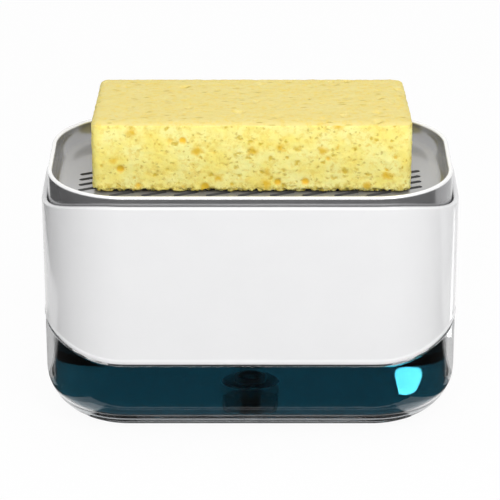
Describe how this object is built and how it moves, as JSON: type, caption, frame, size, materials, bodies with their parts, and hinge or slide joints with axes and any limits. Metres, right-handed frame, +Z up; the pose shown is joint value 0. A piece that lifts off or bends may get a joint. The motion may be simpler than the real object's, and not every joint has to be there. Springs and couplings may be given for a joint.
{
  "type": "soap pump caddy",
  "caption": "Counter-top soap pump with a sponge tray: pressing the slotted tray works a spring pump that lifts soap from a clear tub under a rounded housing.",
  "frame": {"origin": "centre of the footprint, on the surface that the pads stand on", "axes": "+X along the caddy, to the user's right; +Y away from the user, so the plain front faces -Y; +Z up"},
  "size_m": [0.165, 0.094, 0.1269],
  "materials": {
    "clear_plastic": "clear moulded plastic, polished",
    "soap": "dark teal liquid soap",
    "white_plastic": "gloss white moulded plastic",
    "grey_plastic": "grey moulded plastic, gloss",
    "pump_plastic": "natural moulded plastic",
    "foot_plastic": "dark moulded plastic",
    "pale_silicone": "pale silicone",
    "dark_rubber": "soft dark rubber",
    "spring_steel": "bright stainless steel",
    "sponge_foam": "open-pored yellow cellulose sponge"
  },
  "bodies": {
    "reservoir": {"clear_tub": "clear_plastic", "rubber_pads": "dark_rubber", "soap_fill": "soap"},
    "housing": {"white_housing": "white_plastic", "tub_seal": "pale_silicone", "pump_cylinder": "pump_plastic", "cylinder_gasket": "pale_silicone", "collar_nut": "pump_plastic", "cylinder_cap": "pump_plastic", "ball_cage": "pump_plastic", "dip_tube": "pump_plastic", "intake_foot": "foot_plastic", "return_spring": "spring_steel"},
    "plunger": {"press_tray": "grey_plastic", "nozzle_cap": "grey_plastic", "nozzle_seal": "pale_silicone", "plunger_stem": "pump_plastic", "piston": "pump_plastic", "piston_seal": "pale_silicone"},
    "inlet_valve": {"inlet_ball": "spring_steel"},
    "outlet_valve": {"outlet_ball": "spring_steel"},
    "sponge_block": {"sponge": "sponge_foam"}
  },
  "joints": [
    {"name": "housing_lift", "type": "slide", "parent": "reservoir", "child": "housing", "axis": [0, 0, 1], "range_m": [0, 0.06]},
    {"name": "tray_press", "type": "slide", "parent": "housing", "child": "plunger", "axis": [0, 0, -1], "range_m": [0, 0.009], "stiffness_N_per_m": 500, "springref_m": -0.01, "deforming": ["return_spring"]},
    {"name": "inlet_ball_lift", "type": "slide", "parent": "housing", "child": "inlet_valve", "axis": [0, 0, 1], "range_m": [0, 0.0012]},
    {"name": "outlet_ball_lift", "type": "slide", "parent": "plunger", "child": "outlet_valve", "axis": [0, 0, 1], "range_m": [0, 0.0012]},
    {"name": "sponge_lift", "type": "slide", "parent": "plunger", "child": "sponge_block", "axis": [0, 0, 1], "range_m": [0, 0.05]}
  ]
}
